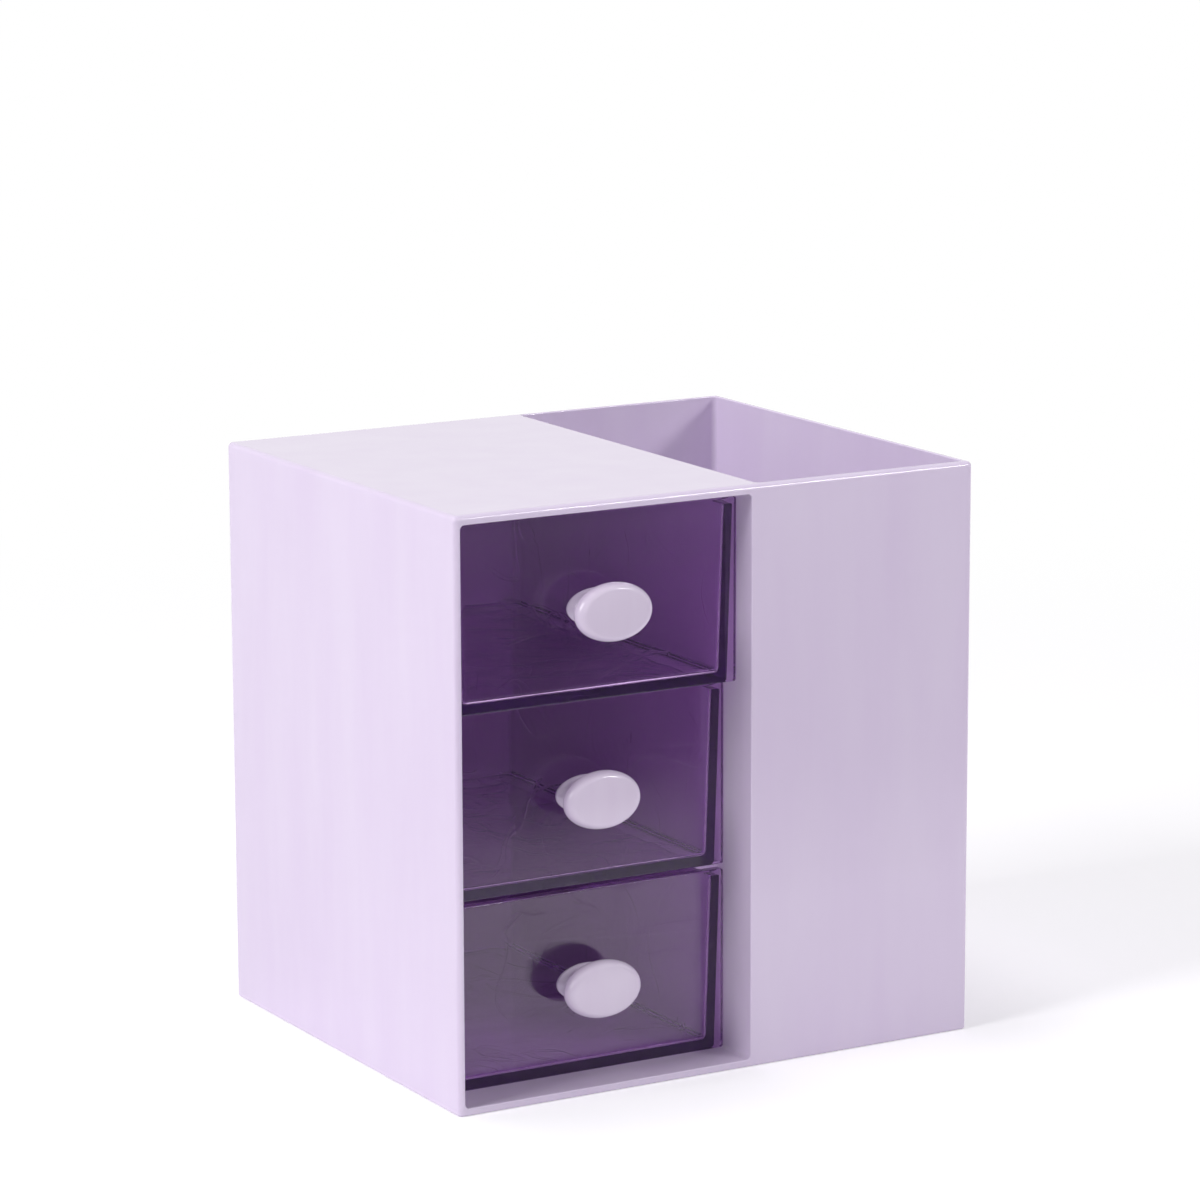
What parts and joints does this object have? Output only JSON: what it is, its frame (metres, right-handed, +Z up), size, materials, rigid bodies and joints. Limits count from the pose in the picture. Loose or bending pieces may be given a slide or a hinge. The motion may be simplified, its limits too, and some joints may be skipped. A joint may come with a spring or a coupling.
{
  "type": "desk storage drawer",
  "caption": "Cube-shaped desk organiser in glossy plastic with an open-topped pen bay beside clear pull-out trays that have oval knobs.",
  "frame": {"origin": "centre of the case's flat underside", "axes": "+Z up, +X to the right seen from the front, the open front with the trays faces -Y; the trays are on the -X side and the pen bay on the +X side"},
  "size_m": [0.126, 0.109, 0.126],
  "materials": {
    "case_plastic": "glossy",
    "clear_plastic": "clear glossy",
    "knob_plastic": "glossy"
  },
  "bodies": {
    "case": {"case": "case_plastic"},
    "drawer_bottom": {"drawer_bottom": "clear_plastic", "knob_bottom": "knob_plastic"},
    "drawer_middle": {"drawer_middle": "clear_plastic", "knob_middle": "knob_plastic"},
    "drawer_top": {"drawer_top": "clear_plastic", "knob_top": "knob_plastic"}
  },
  "joints": [
    {"name": "drawer_bottom_slide", "type": "slide", "parent": "case", "child": "drawer_bottom", "axis": [0, -1, 0], "range_m": [0, 0.08]},
    {"name": "drawer_middle_slide", "type": "slide", "parent": "case", "child": "drawer_middle", "axis": [0, -1, 0], "range_m": [0, 0.08]},
    {"name": "drawer_top_slide", "type": "slide", "parent": "case", "child": "drawer_top", "axis": [0, -1, 0], "range_m": [-0.005, 0.075]}
  ]
}
